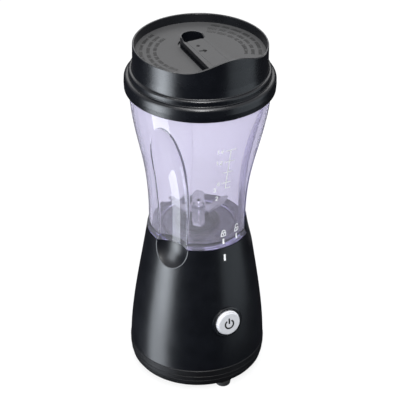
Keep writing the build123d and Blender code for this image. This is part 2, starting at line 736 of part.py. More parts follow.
def lid():
    """Travel lid: skirt, shoulder beads, upper wall, recessed disc, lip and slider block."""
    inner = LID_WALL_RADIUS - LID_WALL
    outline = [(52.6, LID_EDGE), (54.2, LID_EDGE), (54.5, 242.0), (54.25, 248.1), (51.0, 248.4),
               (51.2, 252.6), (48.75, 252.9), (48.35, 258.0), (LID_WALL_RADIUS, LID_RIM),
               (inner, LID_RIM), (inner, LID_DISC), (0, LID_DISC), (0, LID_DISC - 2.0),
               (45.6, LID_DISC - 2.0), (45.2, 262.3), (45.2, 240.8), (46.6, 240.8),
               (47.0, 241.4), (47.0, 247.6), (50.9, 247.6), (52.6, 245.6)]
    rounded = [(54.2, LID_EDGE, 0.7), (54.25, 248.1, 2.7), (51.0, 248.4, 0.4),
               (51.2, 252.6, 1.5), (48.75, 252.9, 0.8), (LID_WALL_RADIUS, LID_RIM, 0.45),
               (inner, LID_RIM, 0.45)]
    body = turned(outline, rounded)
    body += lip_wall()
    gutter = block_shape(LID_DISC - GUTTER_DEPTH, LID_DISC + 1, GUTTER_WIDTH)
    body -= gutter & post(inner - 0.5, 250, 300)
    inside_wall = post(inner + 0.3, 250, 300)
    body += block_shape(LID_DISC - 2, SLIDER_TOP) & inside_wall
    body += scoop_wall()
    body += post(BLOCK_REAR, POCKET_FLOOR - 1.5, LID_DISC, 0, POCKET_CENTRE)
    return cut_lid_openings(body)


def cut_lid_openings(body):
    """Slider track, thumb pocket, drinking hole and gasket groove."""
    body -= slider_blank(0.1) + Pos(0, SLIDER_TRAVEL, 0) * slider_blank(0.1)
    body -= post(POCKET_RADIUS, POCKET_FLOOR, SCOOP_TOP + 1, 0, POCKET_CENTRE)
    step_length = POCKET_CENTRE - SLIDER_INNER - 0.1
    body -= block(2 * POCKET_RADIUS, step_length, 266.2, SCOOP_TOP + 1, 0,
                  POCKET_CENTRE - step_length / 2)
    hole_front = SLIDER_FRONT - 1.4
    hole = block(10.5, 7.0, 260, 268, 0, -hole_front + 3.5)
    body -= fillet(hole.edges().filter_by(Axis.Z), 2.4)
    return body - ring(47.2, 46.0, 242.0, 245.0)


def lid_gasket():
    """Soft ring on the lid's plug that seals against the inside of the jar's mouth."""
    outline = [(46.05, 242.05), (47.2, 242.05), (48.2, 242.9), (48.2, 244.1), (47.2, 244.95),
               (46.05, 244.95)]
    return turned(outline)


def lid_slider():
    """Closure that slides back from the drinking hole."""
    return slider_blank()


# ---- everything ---------------------------------------------------------------------
PIECES = {
    "base_housing": base_housing,
    "bottom_cover": bottom_cover,
    "feet": feet,
    "cover_screws": cover_screws,
    "cord_gland": cord_gland,
    "button_bezel": button_bezel,
    "power_button": power_button,
    "button_spring": button_spring,
    "switch_bracket": switch_bracket,
    "switch_screws": switch_screws,
    "switch_body": switch_body,
    "switch_plunger": switch_plunger,
    "switch_terminals": switch_terminals,
    "stator_core": stator_core,
    "field_coils": field_coils,
    "upper_bracket": upper_bracket,
    "lower_bracket": lower_bracket,
    "bracket_spacers": spacers,
    "motor_bolts": motor_bolts,
    "upper_bearing": lambda: bearing(76.6, 81.3),
    "lower_bearing": lambda: bearing(13.6, 18.3),
    "brush_holders": brush_holders,
    "carbon_brushes": carbon_brushes,
    "brush_springs": brush_springs,
    "brush_caps": brush_caps,
    "lead_wires": lead_wires,
    "motor_grommets": motor_grommets,
    "mount_screws": mount_screws,
    "drip_seal": drip_seal,
    "motor_shaft": motor_shaft,
    "armature_core": armature_core,
    "armature_windings": armature_windings,
    "commutator": commutator,
    "cooling_fan": cooling_fan,
    "drive_coupling": drive_coupling,
    "jar_seat_ring": jar_seat_ring,
    "jar": jar,
    "hub_housing": hub_housing,
    "hub_gasket": hub_gasket,
    "hub_nut": hub_nut,
    "hub_bushes": hub_bushes,
    "blade_seal": blade_seal,
    "blade_shaft": blade_shaft,
    "lower_blade": lower_blade,
    "upper_blade": upper_blade,
    "blade_washer": blade_washer,
    "blade_nut": blade_nut,
    "driven_coupling": driven_coupling,
    "lid": lid,
    "lid_gasket": lid_gasket,
    "lid_slider": lid_slider,
}

os.makedirs("parts", exist_ok=True)
for name, build in PIECES.items():
    write(name, build())
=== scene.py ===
import math

import bmesh
import bpy
import numpy as np
from mathutils import Matrix, Vector
from mathutils.bvhtree import BVHTree


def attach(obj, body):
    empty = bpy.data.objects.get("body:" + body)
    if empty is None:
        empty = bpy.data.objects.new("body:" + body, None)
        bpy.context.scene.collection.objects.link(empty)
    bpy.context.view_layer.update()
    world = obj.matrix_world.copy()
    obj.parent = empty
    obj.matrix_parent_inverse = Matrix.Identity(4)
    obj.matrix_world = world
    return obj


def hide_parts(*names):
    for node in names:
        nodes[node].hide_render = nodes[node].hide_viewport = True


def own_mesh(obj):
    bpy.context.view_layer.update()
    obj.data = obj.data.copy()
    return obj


# Personal countertop blender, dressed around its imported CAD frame.
# Metres, +Z up, the front (button side) faces -Y; angles are about Z from +X, in degrees.

MM = 0.001
FRONT = -90.0

# Heights, places and lengths of the CAD part that the dressing refers to
LID_DISC = 264.9 * MM
SLIDER_TOP = 269.9 * MM
BUTTON_POINT = Vector((0.0, -47.9 * MM, 60.5 * MM))
BUTTON_TILT = 7.0
BUTTON_PROUD = 3.6 * MM
UNLOCK_TWIST = 19.0

# Printed marks
INK_PROUD = 0.07 * MM
MARK_SUNK = 0.02 * MM           # how far a mark reaches into the face that it lies on
MARK_STEP = 1.0 * MM            # longest straight piece of a mark on a curved wall
NUMBER_HEIGHT = 3.2 * MM
NUMBER_STROKE = 0.62 * MM
LOCK_ANGLE = FRONT + 2.0        # the closed lock and the base's index, above each other

PLASTIC_IOR = 1.5

# Camera
CAMERA_AZIMUTH = -28.0
CAMERA_ELEVATION = 32.35
CAMERA_TARGET = Vector((0.0, 0.0, 141.2 * MM))
CAMERA_DISTANCE = 1263.2 * MM
CAMERA_LENS = 153.0
CAMERA_ROLL = 0.72
CAMERA_SHIFT = 0.0035

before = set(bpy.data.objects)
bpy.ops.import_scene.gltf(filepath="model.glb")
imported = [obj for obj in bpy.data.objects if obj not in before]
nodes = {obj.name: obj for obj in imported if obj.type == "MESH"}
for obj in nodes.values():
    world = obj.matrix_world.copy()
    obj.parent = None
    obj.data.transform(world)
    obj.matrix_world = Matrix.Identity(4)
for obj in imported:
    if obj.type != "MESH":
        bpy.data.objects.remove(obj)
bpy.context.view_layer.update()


# ---- node helpers -------------------------------------------------------------------
def new_material(name):
    """A node material with an empty Principled surface, and its tree."""
    material = bpy.data.materials.new(name)
    material.use_nodes = True
    tree = material.node_tree
    shader = tree.nodes["Principled BSDF"]
    return material, tree, shader


def noise(tree, scale, detail=4.0, squeeze=(1, 1, 1)):
    """Object-space noise, its features about 1/scale metres across, less along squeezed axes."""
    place = tree.nodes.new("ShaderNodeTexCoord")
    mapping = tree.nodes.new("ShaderNodeMapping")
    mapping.inputs["Scale"].default_value = squeeze
    texture = tree.nodes.new("ShaderNodeTexNoise")
    texture.inputs["Scale"].default_value = scale
    texture.inputs["Detail"].default_value = detail
    texture.inputs["Roughness"].default_value = 0.55
    tree.links.new(place.outputs["Object"], mapping.inputs["Vector"])
    tree.links.new(mapping.outputs["Vector"], texture.inputs["Vector"])
    return texture.outputs["Fac"]


def ranged(tree, value, low, high):
    """A 0..1 value moved into low..high."""
    node = tree.nodes.new("ShaderNodeMapRange")
    node.inputs["From Min"].default_value = 0.3
    node.inputs["From Max"].default_value = 0.7
    node.inputs["To Min"].default_value = low
    node.inputs["To Max"].default_value = high
    tree.links.new(value, node.inputs["Value"])
    return node.outputs["Result"]


def blended(tree, value, dark, light):
    """A colour between two, by a 0..1 value."""
    ramp = tree.nodes.new("ShaderNodeValToRGB")
    ramp.color_ramp.elements[0].position = 0.3
    ramp.color_ramp.elements[1].position = 0.7
    ramp.color_ramp.elements[0].color = (*dark, 1)
    ramp.color_ramp.elements[1].color = (*light, 1)
    tree.links.new(value, ramp.inputs["Fac"])
    return ramp.outputs["Color"]


def bumped(tree, shader, value, depth, strength=1.0):
    """Relief of the given depth in metres on the shader's normal."""
    bump = tree.nodes.new("ShaderNodeBump")
    bump.inputs["Strength"].default_value = strength
    bump.inputs["Distance"].default_value = depth
    tree.links.new(value, bump.inputs["Height"])
    tree.links.new(bump.outputs["Normal"], shader.inputs["Normal"])


def z_part(tree, vector):
    """The Z part of a vector."""
    node = tree.nodes.new("ShaderNodeSeparateXYZ")
    tree.links.new(vector, node.inputs["Vector"])
    return node.outputs["Z"]


def stepped(tree, value, low, high):
    """0 below low, 1 above high, and straight between them."""
    node = tree.nodes.new("ShaderNodeMapRange")
    node.inputs["From Min"].default_value = low
    node.inputs["From Max"].default_value = high
    tree.links.new(value, node.inputs["Value"])
    return node.outputs["Result"]


def product(tree, first, second):
    """Two values multiplied."""
    node = tree.nodes.new("ShaderNodeMath")
    node.operation = "MULTIPLY"
    tree.links.new(first, node.inputs[0])
    tree.links.new(second, node.inputs[1])
    return node.outputs["Value"]


def under(tree, value, limit):
    """1 where the value is less than a limit, and 0 elsewhere."""
    node = tree.nodes.new("ShaderNodeMath")
    node.operation = "LESS_THAN"
    node.inputs[1].default_value = limit
    tree.links.new(value, node.inputs[0])
    return node.outputs["Value"]


def mixed(tree, kind, mask, outside, inside):
    """One output where the mask is 0 and the other where it is 1; kind is RGBA or FLOAT."""
    node = tree.nodes.new("ShaderNodeMix")
    node.data_type = kind
    tree.links.new(mask, node.inputs["Factor"])
    tree.links.new(outside, node.inputs["A"])
    if isinstance(inside, float):
        node.inputs["B"].default_value = inside
    else:
        tree.links.new(inside, node.inputs["B"])
    return node.outputs["Result"]


# ---- materials ----------------------------------------------------------------------
def moulded(name, dark, light, rough, grain=2500.0, depth=6e-6, specular=0.5):
    """Opaque moulded plastic or rubber: faint mottling, a fine grain and uneven gloss."""
    material, tree, shader = new_material(name)
    mottle = noise(tree, 70.0, 3.0)
    fine = noise(tree, grain, 2.0)
    tree.links.new(blended(tree, mottle, dark, light), shader.inputs["Base Color"])
    tree.links.new(ranged(tree, mottle, rough * 0.93, rough * 1.08), shader.inputs["Roughness"])
    shader.inputs["IOR"].default_value = PLASTIC_IOR
    shader.inputs["Specular IOR Level"].default_value = specular
    bumped(tree, shader, fine, depth)
    return material


def metal(name, dark, light, rough, squeeze=(1, 1, 1), scale=900.0, depth=4e-6):
    """Worked metal: brushed or turned lines, fine along the axes that are squeezed most."""
    material, tree, shader = new_material(name)
    shader.inputs["Metallic"].default_value = 1.0
    lines = noise(tree, scale, 4.0, squeeze)
    tree.links.new(blended(tree, lines, dark, light), shader.inputs["Base Color"])
    tree.links.new(ranged(tree, lines, rough * 0.8, rough * 1.25), shader.inputs["Roughness"])
    bumped(tree, shader, lines, depth)
    return material


def clear_jar(name):
    """Tinted clear copolyester: slightly hazy walls whose colour deepens with thickness."""
    material, tree, shader = new_material(name)
    shader.inputs["Base Color"].default_value = (0.945, 0.93, 0.99, 1)
    shader.inputs["Transmission Weight"].default_value = 0.92
    shader.inputs["IOR"].default_value = PLASTIC_IOR
    wear = noise(tree, 60.0, 5.0)
    tree.links.new(ranged(tree, wear, 0.01, 0.035), shader.inputs["Roughness"])
    ripple = noise(tree, 45.0, 1.0)
    bumped(tree, shader, ripple, 4e-5, 0.35)
    tint = tree.nodes.new("ShaderNodeVolumeAbsorption")
    tint.inputs["Color"].default_value = (0.58, 0.54, 0.82, 1)
    tint.inputs["Density"].default_value = 100.0
    output = tree.nodes["Material Output"]
    tree.links.new(tint.outputs["Volume"], output.inputs["Volume"])
    return material


def recess_mask(tree):
    """1 on the level faces between the lid's disc and the top of its slider."""
    normal = tree.nodes.new("ShaderNodeNewGeometry").outputs["True Normal"]
    place = tree.nodes.new("ShaderNodeTexCoord").outputs["Object"]
    height = z_part(tree, place)
    level = stepped(tree, z_part(tree, normal), 0.90, 0.98)
    above = stepped(tree, height, LID_DISC - 1.0 * MM, LID_DISC - 0.5 * MM)
    below = under(tree, height, SLIDER_TOP + 0.4 * MM)
    return product(tree, product(tree, level, above), below)


def lid_plastic(name, dark, light, rough):
    """Glossy outer wall, with a fine spark-eroded texture on the level faces of the recess, whose
    lighter grey colour is painted sheen of overhead light on the black plastic.
    """
    # painted sheen: the level faces of the recess get a grey far lighter than the black plastic
    painted_sheen_dark = (0.036, 0.036, 0.037)
    painted_sheen_light = (0.049, 0.049, 0.050)
    matte_rough = 0.6
    material, tree, shader = new_material(name)
    mask = recess_mask(tree)
    mottle = noise(tree, 70.0, 3.0)
    fine = noise(tree, 2600.0, 2.0)
    glossy = blended(tree, mottle, dark, light)
    matte_painted_sheen = blended(tree, fine, painted_sheen_dark, painted_sheen_light)
    gloss = ranged(tree, mottle, rough * 0.93, rough * 1.08)
    # the mask of level faces mixes in the painted sheen colour and the rougher finish
    tree.links.new(mixed(tree, "RGBA", mask, glossy, matte_painted_sheen), shader.inputs["Base Color"])
    tree.links.new(mixed(tree, "FLOAT", mask, gloss, matte_rough), shader.inputs["Roughness"])
    bumped(tree, shader, fine, 1.2e-5)
    return material


def silver_paint(name):
    """Metallic silver paint with fine flake."""
    material, tree, shader = new_material(name)
    flake = noise(tree, 5200.0, 2.0)
    tree.links.new(blended(tree, flake, (0.58, 0.58, 0.60), (0.66, 0.66, 0.68)),
                   shader.inputs["Base Color"])
    tree.links.new(ranged(tree, flake, 0.30, 0.42), shader.inputs["Roughness"])
    shader.inputs["Metallic"].default_value = 0.15
    shader.inputs["Coat Weight"].default_value = 0.25
    shader.inputs["Coat Roughness"].default_value = 0.12
    bumped(tree, shader, flake, 4e-6)
    return material


def make_materials():
    """Every material slot of model.glb's parts, by name."""
    black = (0.0022, 0.0026, 0.0038)
    black_light = (0.0036, 0.0042, 0.006)
    made = {
        "base_plastic": moulded("base_plastic", black, black_light, 0.30),
        "cover_plastic": moulded("cover_plastic", (0.003, 0.003, 0.0035),
                                 (0.005, 0.005, 0.006), 0.5, specular=0.25),
        # both lid materials paint sheen onto the level faces of the recess as a lighter grey
        "lid_plastic": lid_plastic("lid_plastic", black, black_light, 0.27),
        "slider_plastic": lid_plastic("slider_plastic", black, black_light, 0.3),
        "bezel_plastic": moulded("bezel_plastic", black, black_light, 0.24),
        "foot_rubber": moulded("foot_rubber", (0.012, 0.012, 0.012), (0.02, 0.02, 0.02),
                               0.62, 1200.0, 2e-5),
        "gland_rubber": moulded("gland_rubber", (0.014, 0.014, 0.014), (0.02, 0.02, 0.02), 0.55),
        "inner_rubber": moulded("inner_rubber", (0.02, 0.02, 0.021), (0.03, 0.03, 0.031), 0.6),
        "gasket_silicone": moulded("gasket_silicone", (0.55, 0.55, 0.56),
                                   (0.62, 0.62, 0.63), 0.45),
        "inner_plastic": moulded("inner_plastic", (0.10, 0.10, 0.10), (0.14, 0.14, 0.14), 0.5),
        "plunger_plastic": moulded("plunger_plastic", (0.6, 0.58, 0.52), (0.7, 0.68, 0.6), 0.42),
        "coupling_plastic": moulded("coupling_plastic", (0.02, 0.02, 0.02),
                                    (0.03, 0.03, 0.03), 0.4),
        "hub_plastic": moulded("hub_plastic", (0.012, 0.012, 0.013), (0.017, 0.017, 0.018), 0.33),
        "wire_sleeve": moulded("wire_sleeve", (0.35, 0.03, 0.02), (0.45, 0.05, 0.03), 0.4),
        "carbon": moulded("carbon", (0.02, 0.02, 0.02), (0.04, 0.04, 0.04), 0.55),
        "button_silver": silver_paint("button_silver"),
        "jar_clear": clear_jar("jar_clear"),
        "screw_steel": metal("screw_steel", (0.45, 0.45, 0.46), (0.6, 0.6, 0.61), 0.3),
        "spring_steel": metal("spring_steel", (0.5, 0.5, 0.5), (0.62, 0.62, 0.62), 0.28),
        "shaft_steel": metal("shaft_steel", (0.55, 0.55, 0.56), (0.7, 0.7, 0.71), 0.22,
                             (1, 1, 8)),
        "blade_steel": metal("blade_steel", (0.56, 0.56, 0.57), (0.72, 0.72, 0.73), 0.2,
                             (1, 6, 6)),
        "lamination_steel": metal("lamination_steel", (0.14, 0.14, 0.15), (0.42, 0.42, 0.43),
                                  0.45, (0.05, 0.05, 3), 700.0, 4e-5),
        "terminal_brass": metal("terminal_brass", (0.62, 0.45, 0.2), (0.75, 0.56, 0.27), 0.3),
        "bearing_bronze": metal("bearing_bronze", (0.36, 0.22, 0.11), (0.5, 0.32, 0.17), 0.4),
        "copper_wire": metal("copper_wire", (0.42, 0.13, 0.04), (0.7, 0.27, 0.1), 0.32,
                             (0.1, 0.1, 2), 800.0, 6e-5),
        "commutator_copper": metal("commutator_copper", (0.6, 0.28, 0.14),
                                   (0.78, 0.4, 0.22), 0.3, (0.1, 0.1, 3)),
        "bracket_aluminium": metal("bracket_aluminium", (0.52, 0.52, 0.53),
                                   (0.66, 0.66, 0.67), 0.42),
    }
    return made


def ink_and_painted_shade(name, dark, light, rough=0.45, specular=0.5):
    """Screen-printed ink, and the painted shade of the lid's raised strokes: slightly uneven
    cover, a little body.
    """
    material, tree, shader = new_material(name)
    cover = noise(tree, 1500.0, 4.0)
    tree.links.new(blended(tree, cover, dark, light), shader.inputs["Base Color"])
    tree.links.new(ranged(tree, cover, rough * 0.9, rough * 1.1), shader.inputs["Roughness"])
    shader.inputs["Specular IOR Level"].default_value = specular
    bumped(tree, shader, cover, 5e-6)
    return material


materials = make_materials()
white_ink = ink_and_painted_shade("white_ink", (0.80, 0.80, 0.80), (0.88, 0.88, 0.88))
black_ink = ink_and_painted_shade("black_ink", (0.005, 0.005, 0.005), (0.009, 0.009, 0.009), 0.6, 0.15)
# painted shade: the lid's raised strokes are its own plastic, coloured darker than the disc's
# painted sheen to stand in for the shade on their sides
relief_shade = ink_and_painted_shade("relief_painted_shade", (0.008, 0.008, 0.008), (0.014, 0.014, 0.014), 0.5)

for node_name, node in nodes.items():
    for material_slot in node.material_slots:
        slot_name = material_slot.material.name.split(".")[0]
        material_slot.material = materials[slot_name]


# ---- mesh helpers -------------------------------------------------------------------
def make_object(name, vertices, faces, material, smooth=True):
    """A mesh object from vertices and faces, in metres."""
    mesh = bpy.data.meshes.new(name)
    mesh.from_pydata([tuple(v) for v in vertices], [], faces)
    mesh.validate()
    mesh.update()
    mesh.materials.append(material)
    for polygon in mesh.polygons:
        polygon.use_smooth = smooth
    made = bpy.data.objects.new(name, mesh)
    bpy.context.scene.collection.objects.link(made)
    return made


def tree_of(node):
    """A ray-cast tree of a node or piece at rest."""
    mesh = node.data
    return BVHTree.FromPolygons([v.co.copy() for v in mesh.vertices],
                                [tuple(p.vertices) for p in mesh.polygons])


class Wall:
    """An upright outer wall that flat marks are wrapped onto."""

    outside = 0.2           # a distance from Z that is clear of the object

    def __init__(self, tree, angle, height):
        self.tree = tree
        self.angle = angle
        self.height = height
        self.radius = self.reach(angle, height)

    def reach(self, angle, height):
        """Distance of the outermost wall from Z at an angle and height."""
        turn = math.radians(angle)
        outward = Vector((math.cos(turn), math.sin(turn), 0))
        start = outward * self.outside + Vector((0, 0, height))
        hit = self.tree.ray_cast(start, -outward)[0]
        return hit.xy.length

    def place(self, x, y, proud):
        """The point x to the right of and y above the wall's anchor, seen from outside."""
        angle = self.angle + math.degrees(x / self.radius)
        height = self.height + y
        reach = self.reach(angle, height) + proud
        turn = math.radians(angle)
        return (reach * math.cos(turn), reach * math.sin(turn), height)


class Flat:
    """A flat face that flat marks lie on: an origin and two directions."""

    def __init__(self, origin, right, up):
        self.origin = Vector(origin)
        self.right = Vector(right).normalized()
        self.up = Vector(up).normalized()
        self.out = self.right.cross(self.up)

    def place(self, x, y, proud):
        """The point x to the right of and y above the face's origin."""
        return tuple(self.origin + self.right * x + self.up * y + self.out * proud)


def stroke_strips(points, width, closed=False):
    """Left and right edges of a line of the given width along 2-D points."""
    points = [Vector(p) for p in points]
    count = len(points)
    left, right = [], []
    for index, point in enumerate(points):
        if closed:
            before, after = points[index - 1], points[(index + 1) % count]
        else:
            before = points[max(index - 1, 0)]
            after = points[min(index + 1, count - 1)]
        along = (after - before).normalized()
        side = Vector((-along.y, along.x)) * width / 2
        left.append(point + side)
        right.append(point - side)
    return left, right


def subdivided(points, step):
    """2-D points with extra points, so that no two are further apart than step."""
    result = []
    for start, end in zip(points, points[1:]):
        start, end = Vector(start), Vector(end)
        parts = max(1, math.ceil((end - start).length / step))
        for part in range(parts):
            result.append(start.lerp(end, part / parts))
    result.append(Vector(points[-1]))
    return result


class Print:
    """Thin raised marks gathered into one mesh."""

    def __init__(self, name, surface, material, proud):
        self.name = name
        self.surface = surface
        self.material = material
        self.proud = proud
        self.vertices = []
        self.faces = []

    def strip(self, left, right, closed=False):
        """A closed slab between two edges."""
        first = len(self.vertices)
        for a, b in zip(left, right):
            for point, height in ((a, self.proud), (b, self.proud), (b, -MARK_SUNK),
                                  (a, -MARK_SUNK)):
                self.vertices.append(self.surface.place(point[0], point[1], height))
        count = len(left)
        spans = count if closed else count - 1
        for index in range(spans):
            here = first + 4 * index
            there = first + 4 * ((index + 1) % count)
            for corner in range(4):
                after = (corner + 1) % 4
                self.faces.append((here + corner, there + corner, there + after, here + after))
        if not closed:
            end = first + 4 * (count - 1)
            self.faces.append((first, first + 1, first + 2, first + 3))
            self.faces.append((end + 3, end + 2, end + 1, end))

    def line(self, points, width, closed=False):
        """A stroke along points."""
        if closed:
            points = list(points)
        else:
            points = subdivided(points, MARK_STEP)
        left, right = stroke_strips(points, width, closed)
        self.strip(left, right, closed)

    def bar(self, x, y, width, height):
        """A filled upright rectangle, centred at x, y."""
        self.line([(x, y - height / 2), (x, y + height / 2)], width)

    def arc(self, x, y, radius, start, end, width, closed=False):
        """A stroke along a circle's arc, in degrees from the right."""
        steps = max(8, int(abs(end - start) / 10))
        count = steps if closed else steps + 1
        points = []
        for index in range(count):
            turn = math.radians(start + (end - start) * index / steps)
            points.append((x + radius * math.cos(turn), y + radius * math.sin(turn)))
        self.line(points, width, closed)

    def dot(self, x, y, radius):
        """A filled disc."""
        self.arc(x, y, radius / 2, 0, 360, radius, closed=True)

    def finish(self, body):
        """Make the printed object, riding on a body."""
        made = make_object(self.name, self.vertices, self.faces, self.material, smooth=False)
        cleaner = bmesh.new()
        cleaner.from_mesh(made.data)
        bmesh.ops.recalc_face_normals(cleaner, faces=cleaner.faces)
        cleaner.to_mesh(made.data)
        cleaner.free()
        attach(made, body)


# Strokes of the digits that the scales use, on a 2 x 4 grid: x 0..2, y 0..4
DIGIT_STROKES = {
    "1": [[(0.4, 3.2), (1.2, 4), (1.2, 0)]],
    "2": [[(0, 3.2), (0.3, 3.8), (1, 4), (1.7, 3.8), (2, 3.1), (1.8, 2.3), (0, 0), (2, 0)]],
    "3": [[(0, 3.5), (0.5, 4), (1.5, 4), (2, 3.4), (2, 2.7), (1.5, 2.1), (0.8, 2.1)],
          [(1.5, 2.1), (2, 1.5), (2, 0.6), (1.5, 0), (0.5, 0), (0, 0.5)]],
    "4": [[(1.5, 0), (1.5, 4), (0, 1.2), (2, 1.2)]],
    "6": [[(1.8, 3.9), (0.7, 3.4), (0.1, 2.2), (0, 0.9), (0.5, 0.1), (1.4, 0), (2, 0.6),
           (2, 1.5), (1.4, 2.2), (0.6, 2.1), (0.05, 1.4)]],
}


def write_number(printed, text, x, y):
    """Digits drawn as strokes, the number's right end at x and its middle at y."""
    unit = NUMBER_HEIGHT / 4
    advance = 2.9 * unit
    left = x - advance * len(text) + 0.9 * unit
    for index, digit in enumerate(text):
        for strokes in DIGIT_STROKES[digit]:
            points = [(left + index * advance + a * unit, y - NUMBER_HEIGHT / 2 + b * unit)
                      for a, b in strokes]
            printed.line(points, NUMBER_STROKE)


# ---- printed marks ------------------------------------------------------------------
def padlock(printed, x, y, size, opened):
    """A generic padlock outline: a body and a shackle, swung open or shut."""
    half = size * 0.42
    stroke = size * 0.17
    body = [(x - half, y - size / 2), (x + half, y - size / 2), (x + half, y + size * 0.12),
            (x - half, y + size * 0.12), (x - half, y - size / 2)]
    printed.line(body, stroke)
    printed.bar(x, y - size * 0.19, stroke, size * 0.3)
    lift = size * 0.16 if opened else 0.0
    bend = y + size * 0.36 + lift
    radius = half * 0.72
    printed.arc(x, bend, radius, 0, 180, stroke)
    printed.line([(x - radius, bend), (x - radius, y + size * 0.12)], stroke)
    if not opened:
        printed.line([(x + radius, bend), (x + radius, y + size * 0.12)], stroke)


def level_scale(jar_tree):
    """Upright line with four level lines, three of them numbered."""
    wall = Wall(jar_tree, FRONT, 174.0 * MM)
    printed = Print("jar_scale", wall, white_ink, INK_PROUD)
    line_width = 0.72 * MM
    top = 36.0 * MM
    printed.line([(0, 0), (0, top)], line_width)
    printed.line([(-0.3 * MM, 0), (4.2 * MM, 0)], line_width)
    for text, height in (("6", 5.4 * MM), ("", 15.2 * MM), ("12", 25.4 * MM), ("14", 35.6 * MM)):
        printed.line([(-3.4 * MM, height), (3.6 * MM, height)], line_width)
        write_number(printed, text, -5.0 * MM, height)
    printed.finish("jar")


def second_scale(jar_tree):
    """Two lone numbers, lower and to the left of the level scale."""
    wall = Wall(jar_tree, FRONT - 10.5, 166.0 * MM)
    printed = Print("jar_second_scale", wall, white_ink, INK_PROUD)
    write_number(printed, "3", 0.0, 8.0 * MM)
    write_number(printed, "2", 2.0 * MM, 0.0)
    printed.finish("jar")


def lock_marks(jar_tree):
    """A closed and an open padlock, each over the bar that meets the base's index."""
    for name, angle, opened in (("jar_lock_mark", LOCK_ANGLE, False),
                                ("jar_unlock_mark", LOCK_ANGLE + UNLOCK_TWIST, True)):
        printed = Print(name, Wall(jar_tree, angle, 132.5 * MM), white_ink, INK_PROUD)
        padlock(printed, 0, 0.2 * MM, 4.4 * MM, opened)
        printed.bar(0, -6.3 * MM, 1.5 * MM, 4.2 * MM)
        printed.finish("jar")


def base_marks(housing_tree):
    """The bar that the lock marks are turned to."""
    wall = Wall(housing_tree, LOCK_ANGLE, 113.2 * MM)
    printed = Print("base_index_mark", wall, white_ink, INK_PROUD)
    printed.bar(0, 0, 1.6 * MM, 5.2 * MM)
    printed.finish("base")


def button_directions():
    """Out of the button's face, and up along it."""
    tilt = math.radians(BUTTON_TILT)
    out = Vector((0, -math.cos(tilt), math.sin(tilt)))
    up = Vector((0, math.sin(tilt), math.cos(tilt)))
    return out, up


def button_marks():
    """Power symbol on the button: an open ring and an upright line through its gap."""
    stroke = 1.25 * MM
    out, up = button_directions()
    face = Flat(BUTTON_POINT + out * BUTTON_PROUD, (1, 0, 0), up)
    printed = Print("power_symbol", face, black_ink, 0.06 * MM)
    printed.arc(0, -0.3 * MM, 3.4 * MM, 122, 418, stroke)
    printed.line([(0, 0), (0, 4.6 * MM)], stroke)
    printed.finish("button")


def spoke(angle, inner, outer):
    """Two points on a ray from the lid's middle, at radii in mm."""
    turn = math.radians(angle)
    return [(radius * MM * math.cos(turn), radius * MM * math.sin(turn))
            for radius in (inner, outer)]


def lid_strokes():
    """Rows of fine raised strokes in broken groups, on both sides of the disc."""
    disc = Flat((0, 0, LID_DISC), (1, 0, 0), (0, 1, 0))
    # the strokes' darker colour is painted shade on the lid's own plastic
    printed = Print("lid_strokes", disc, relief_shade, 0.16 * MM)
    stroke_width = 0.55 * MM
    stroke_pitch = 1.15         # along the row, in mm
    rng = np.random.default_rng(14)
    for centre, half_span in ((165.0, 49.0), (8.0, 40.0)):
        for radius in (32.2, 37.0, 42.2):
            angle = centre - half_span
            while angle < centre + half_span:
                group_end = angle + rng.uniform(6.0, 13.0)
                while angle < group_end:
                    half = rng.uniform(1.0, 1.45)
                    printed.line(spoke(angle, radius - half, radius + half), stroke_width)
                    angle += math.degrees(stroke_pitch / radius)
                angle += rng.uniform(1.8, 2.8)
    printed.finish("lid")


def slider_marks():
    """A dot and an arrow on the slider."""
    top = Flat((0, 0, SLIDER_TOP), (1, 0, 0), (0, 1, 0))
    printed = Print("slider_marks", top, black_ink, 0.08 * MM)
    printed.dot(-1.9 * MM, 0.0, 1.3 * MM)
    printed.line([(-4.9 * MM, -7.5 * MM), (-0.1 * MM, -8.9 * MM)], 1.3 * MM)
    head = [(-1.7 * MM, -6.9 * MM), (0.1 * MM, -8.9 * MM), (-2.3 * MM, -10.3 * MM)]
    printed.line(head, 1.1 * MM)
    printed.finish("slider")


# ---- pieces in place of CAD nodes ---------------------------------------------------
def closing_spring():
    """The button's spring, copied from its CAD node and riding on the base in its place."""
    coil = nodes["button_spring"]
    vertices = [coil.matrix_world @ vertex.co for vertex in coil.data.vertices]
    faces = [tuple(polygon.vertices) for polygon in coil.data.polygons]
    spring = make_object("closing_spring", vertices, faces, materials["spring_steel"])
    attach(spring, "base")
    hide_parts("button_spring")
    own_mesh(spring)


closing_spring()
jar_wall = tree_of(nodes["jar"])
level_scale(jar_wall)
second_scale(jar_wall)
lock_marks(jar_wall)
base_marks(tree_of(nodes["base_housing"]))
button_marks()
lid_strokes()
slider_marks()


# ---- studio -------------------------------------------------------------------------
def direction(azimuth, elevation):
    """Unit vector towards a view's camera: azimuth 0 is the front, 90 is +X."""
    a, e = math.radians(azimuth), math.radians(elevation)
    return Vector((math.sin(a) * math.cos(e), -math.cos(a) * math.cos(e), math.sin(e)))


def make_camera():
    """A long lens at the viewing angle, turned about its axis by its roll."""
    camera = bpy.data.cameras.new("camera")
    camera.sensor_width = 36.0
    camera.lens = CAMERA_LENS
    camera.shift_x = CAMERA_SHIFT
    camera.clip_start = 0.01
    camera.clip_end = 50.0
    camera.dof.use_dof = False
    made = bpy.data.objects.new("camera", camera)
    bpy.context.scene.collection.objects.link(made)
    back = direction(CAMERA_AZIMUTH, CAMERA_ELEVATION)
    right = Vector((0, 0, 1)).cross(back).normalized()
    up = back.cross(right)
    facing = Matrix((right, up, back)).transposed().to_4x4()
    made.matrix_world = (Matrix.Translation(CAMERA_TARGET + back * CAMERA_DISTANCE) @ facing
                         @ Matrix.Rotation(math.radians(CAMERA_ROLL), 4, "Z"))
    bpy.context.scene.camera = made


LIGHT_AIM = Vector((0.0, 0.0, 0.14))


